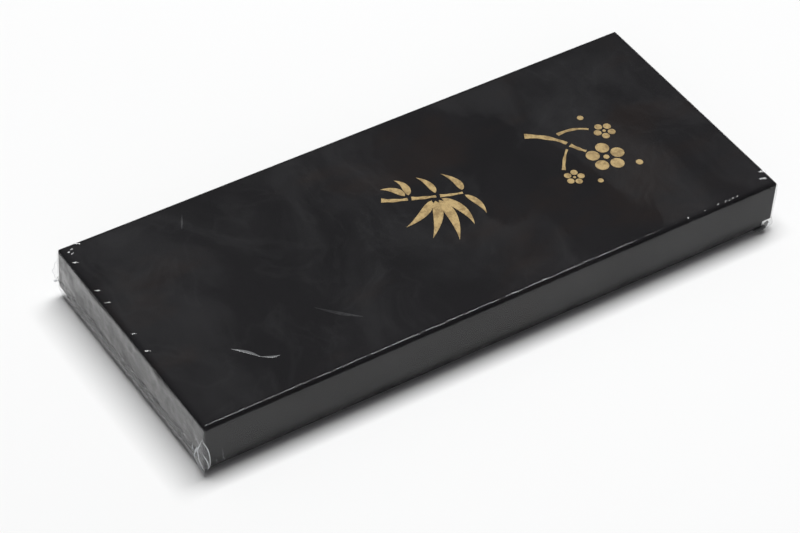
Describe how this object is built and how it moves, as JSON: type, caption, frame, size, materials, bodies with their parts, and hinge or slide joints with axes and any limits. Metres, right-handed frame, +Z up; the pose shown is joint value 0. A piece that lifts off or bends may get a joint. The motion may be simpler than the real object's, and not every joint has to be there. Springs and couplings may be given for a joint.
{
  "type": "boxed ink stick",
  "caption": "Moulded ink stick on a satin insert in a flat black paper-covered lid-and-base box with gold ornaments, sealed in clear shrink film.",
  "frame": {"origin": "middle of the underside of the film, on the surface that the box lies on", "axes": "+X along the box towards the end its ornaments point to, +Y across it, +Z up through the lid"},
  "size_m": [0.18, 0.0746, 0.0172],
  "materials": {
    "shrink_film": "gloss",
    "black_paper": "satin",
    "lining_paper": "matte",
    "grey_board": "matte",
    "stay_paper": "matte",
    "gold_foil": "satin",
    "foam": "matte",
    "satin": "satin",
    "wadding": "matte",
    "ribbon": "satin",
    "ink": "satin",
    "gold_paint": "satin"
  },
  "bodies": {
    "base": {"base_board": "grey_board", "base_corner_stays": "stay_paper", "base_wrap_paper": "black_paper", "base_lining_paper": "lining_paper", "film_lower": "shrink_film", "insert_platform": "foam", "insert_satin": "satin", "stick_pad": "wadding", "lift_ribbon": "ribbon"},
    "stick": {"ink_stick": "ink", "stick_gold_inlay": "gold_paint"},
    "lid": {"lid_board": "grey_board", "lid_corner_stays": "stay_paper", "lid_wrap_paper": "black_paper", "lid_lining_paper": "lining_paper", "bamboo_foil": "gold_foil", "plum_foil": "gold_foil"},
    "film": {"film_upper": "shrink_film"}
  },
  "joints": [
    {"name": "stick_lift", "type": "slide", "parent": "base", "child": "stick", "axis": [0, 0, 1], "range_m": [0, 0.02]},
    {"name": "lid_lift", "type": "slide", "parent": "stick", "child": "lid", "axis": [0, 0, 1], "range_m": [0, 0.03]},
    {"name": "film_lift", "type": "slide", "parent": "lid", "child": "film", "axis": [0, 0, 1], "range_m": [0, 0.025]}
  ]
}
